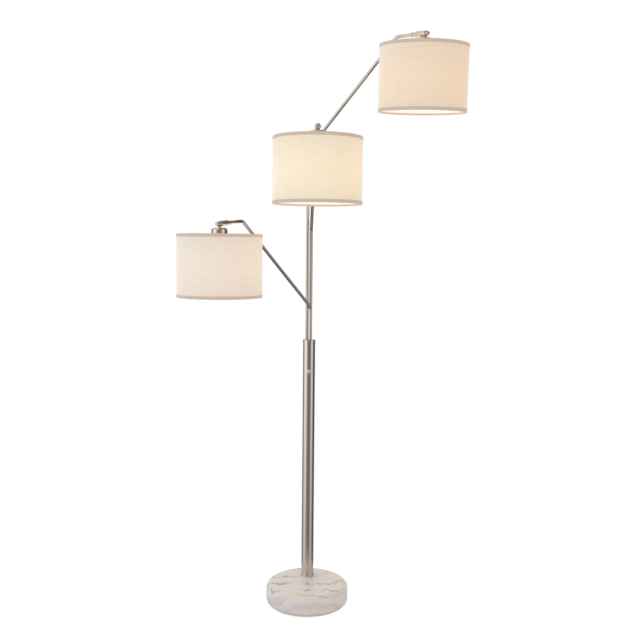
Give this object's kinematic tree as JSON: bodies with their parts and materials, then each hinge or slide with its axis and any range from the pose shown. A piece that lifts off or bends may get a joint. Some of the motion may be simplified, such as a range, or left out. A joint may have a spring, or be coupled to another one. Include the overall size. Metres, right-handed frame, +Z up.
{
  "type": "tree floor lamp",
  "caption": "Floor lamp with a round stone base, a thick pole and bent arms that fan forward at stepped heights, each with a hanging drum shade on a swivel.",
  "frame": {"origin": "centre of the underside of the round base, on the floor", "axes": "+Z up, -Y to the front where the arms fan out, +X to the right seen from the front"},
  "size_m": [0.9919, 0.6916, 2.1152],
  "materials": {
    "marble": "polished stone",
    "felt": "felt",
    "nickel": "brushed nickel",
    "plain_steel": "plain steel",
    "black_rubber": "matt",
    "black_plastic": "matt",
    "frame_white": "white paint",
    "linen": "linen cloth on a stiff liner",
    "tape": "cloth tape",
    "opal": "opal glass"
  },
  "bodies": {
    "stand": {"base_stone": "marble", "base_pad": "felt", "cord_gland": "black_rubber", "base_washer": "plain_steel", "base_nut": "plain_steel", "tie_rod": "plain_steel", "pole_foot": "nickel", "foot_plug": "plain_steel", "pole_tube": "nickel", "pole_cap": "nickel", "arm_bushes": "black_plastic", "arm_carrier": "plain_steel", "switch_body": "black_plastic", "switch_nut": "nickel"},
    "turn_knob": {"switch_knob": "nickel"},
    "left_arm": {"left_arm_stem": "nickel", "left_arm_tube": "nickel", "left_arm_collars": "plain_steel", "left_swivel_spindle": "nickel", "left_swivel_cap": "nickel"},
    "left_shade": {"left_swivel_barrel": "nickel", "left_neck_nipple": "plain_steel", "left_socket_cup": "nickel", "left_lamp_holder": "black_plastic", "left_shade_nut": "black_plastic", "left_shade_spider": "frame_white", "left_shade_lower_ring": "frame_white", "left_shade_drum": "linen", "left_shade_tapes": "tape", "left_bulb": "opal"},
    "middle_arm": {"middle_arm_stem": "nickel", "middle_arm_tube": "nickel", "middle_arm_collars": "plain_steel", "middle_swivel_spindle": "nickel", "middle_swivel_cap": "nickel"},
    "middle_shade": {"middle_swivel_barrel": "nickel", "middle_neck_nipple": "plain_steel", "middle_socket_cup": "nickel", "middle_lamp_holder": "black_plastic", "middle_shade_nut": "black_plastic", "middle_shade_spider": "frame_white", "middle_shade_lower_ring": "frame_white", "middle_shade_drum": "linen", "middle_shade_tapes": "tape", "middle_bulb": "opal"},
    "right_arm": {"right_arm_stem": "nickel", "right_arm_tube": "nickel", "right_arm_collars": "plain_steel", "right_swivel_spindle": "nickel", "right_swivel_cap": "nickel"},
    "right_shade": {"right_swivel_barrel": "nickel", "right_neck_nipple": "plain_steel", "right_socket_cup": "nickel", "right_lamp_holder": "black_plastic", "right_shade_nut": "black_plastic", "right_shade_spider": "frame_white", "right_shade_lower_ring": "frame_white", "right_shade_drum": "linen", "right_shade_tapes": "tape", "right_bulb": "opal"}
  },
  "joints": [
    {"name": "knob_turn", "type": "hinge", "parent": "stand", "child": "turn_knob", "pos_m": [0, 0.046, 0.9055], "axis": [0, -1, 0], "continuous": true},
    {"name": "left_arm_turn", "type": "hinge", "parent": "stand", "child": "left_arm", "pos_m": [0.0047, 0.06186, 1.0285], "axis": [0, 0, 1], "range_deg": [-15, 160]},
    {"name": "left_shade_tilt", "type": "hinge", "parent": "left_arm", "child": "left_shade", "pos_m": [-0.31115, -0.25886, 1.46718], "axis": [-0.5955, -0.796, -0.108], "range_deg": [-30, 30]},
    {"name": "middle_arm_turn", "type": "hinge", "parent": "stand", "child": "middle_arm", "pos_m": [0.0047, 0.07814, 1.0285], "axis": [0, 0, 1], "range_deg": [-10, 200]},
    {"name": "middle_shade_tilt", "type": "hinge", "parent": "middle_arm", "child": "middle_shade", "pos_m": [0.02882, -0.38213, 1.78699], "axis": [0.052, -0.9932, -0.1045], "range_deg": [-30, 30]},
    {"name": "right_arm_turn", "type": "hinge", "parent": "stand", "child": "right_arm", "pos_m": [-0.0094, 0.07, 1.0285], "axis": [0, 0, 1], "range_deg": [-150, 150]},
    {"name": "right_shade_tilt", "type": "hinge", "parent": "right_arm", "child": "right_shade", "pos_m": [0.381, -0.33427, 2.09997], "axis": [0.6923, -0.7169, -0.0819], "range_deg": [-30, 30]}
  ]
}
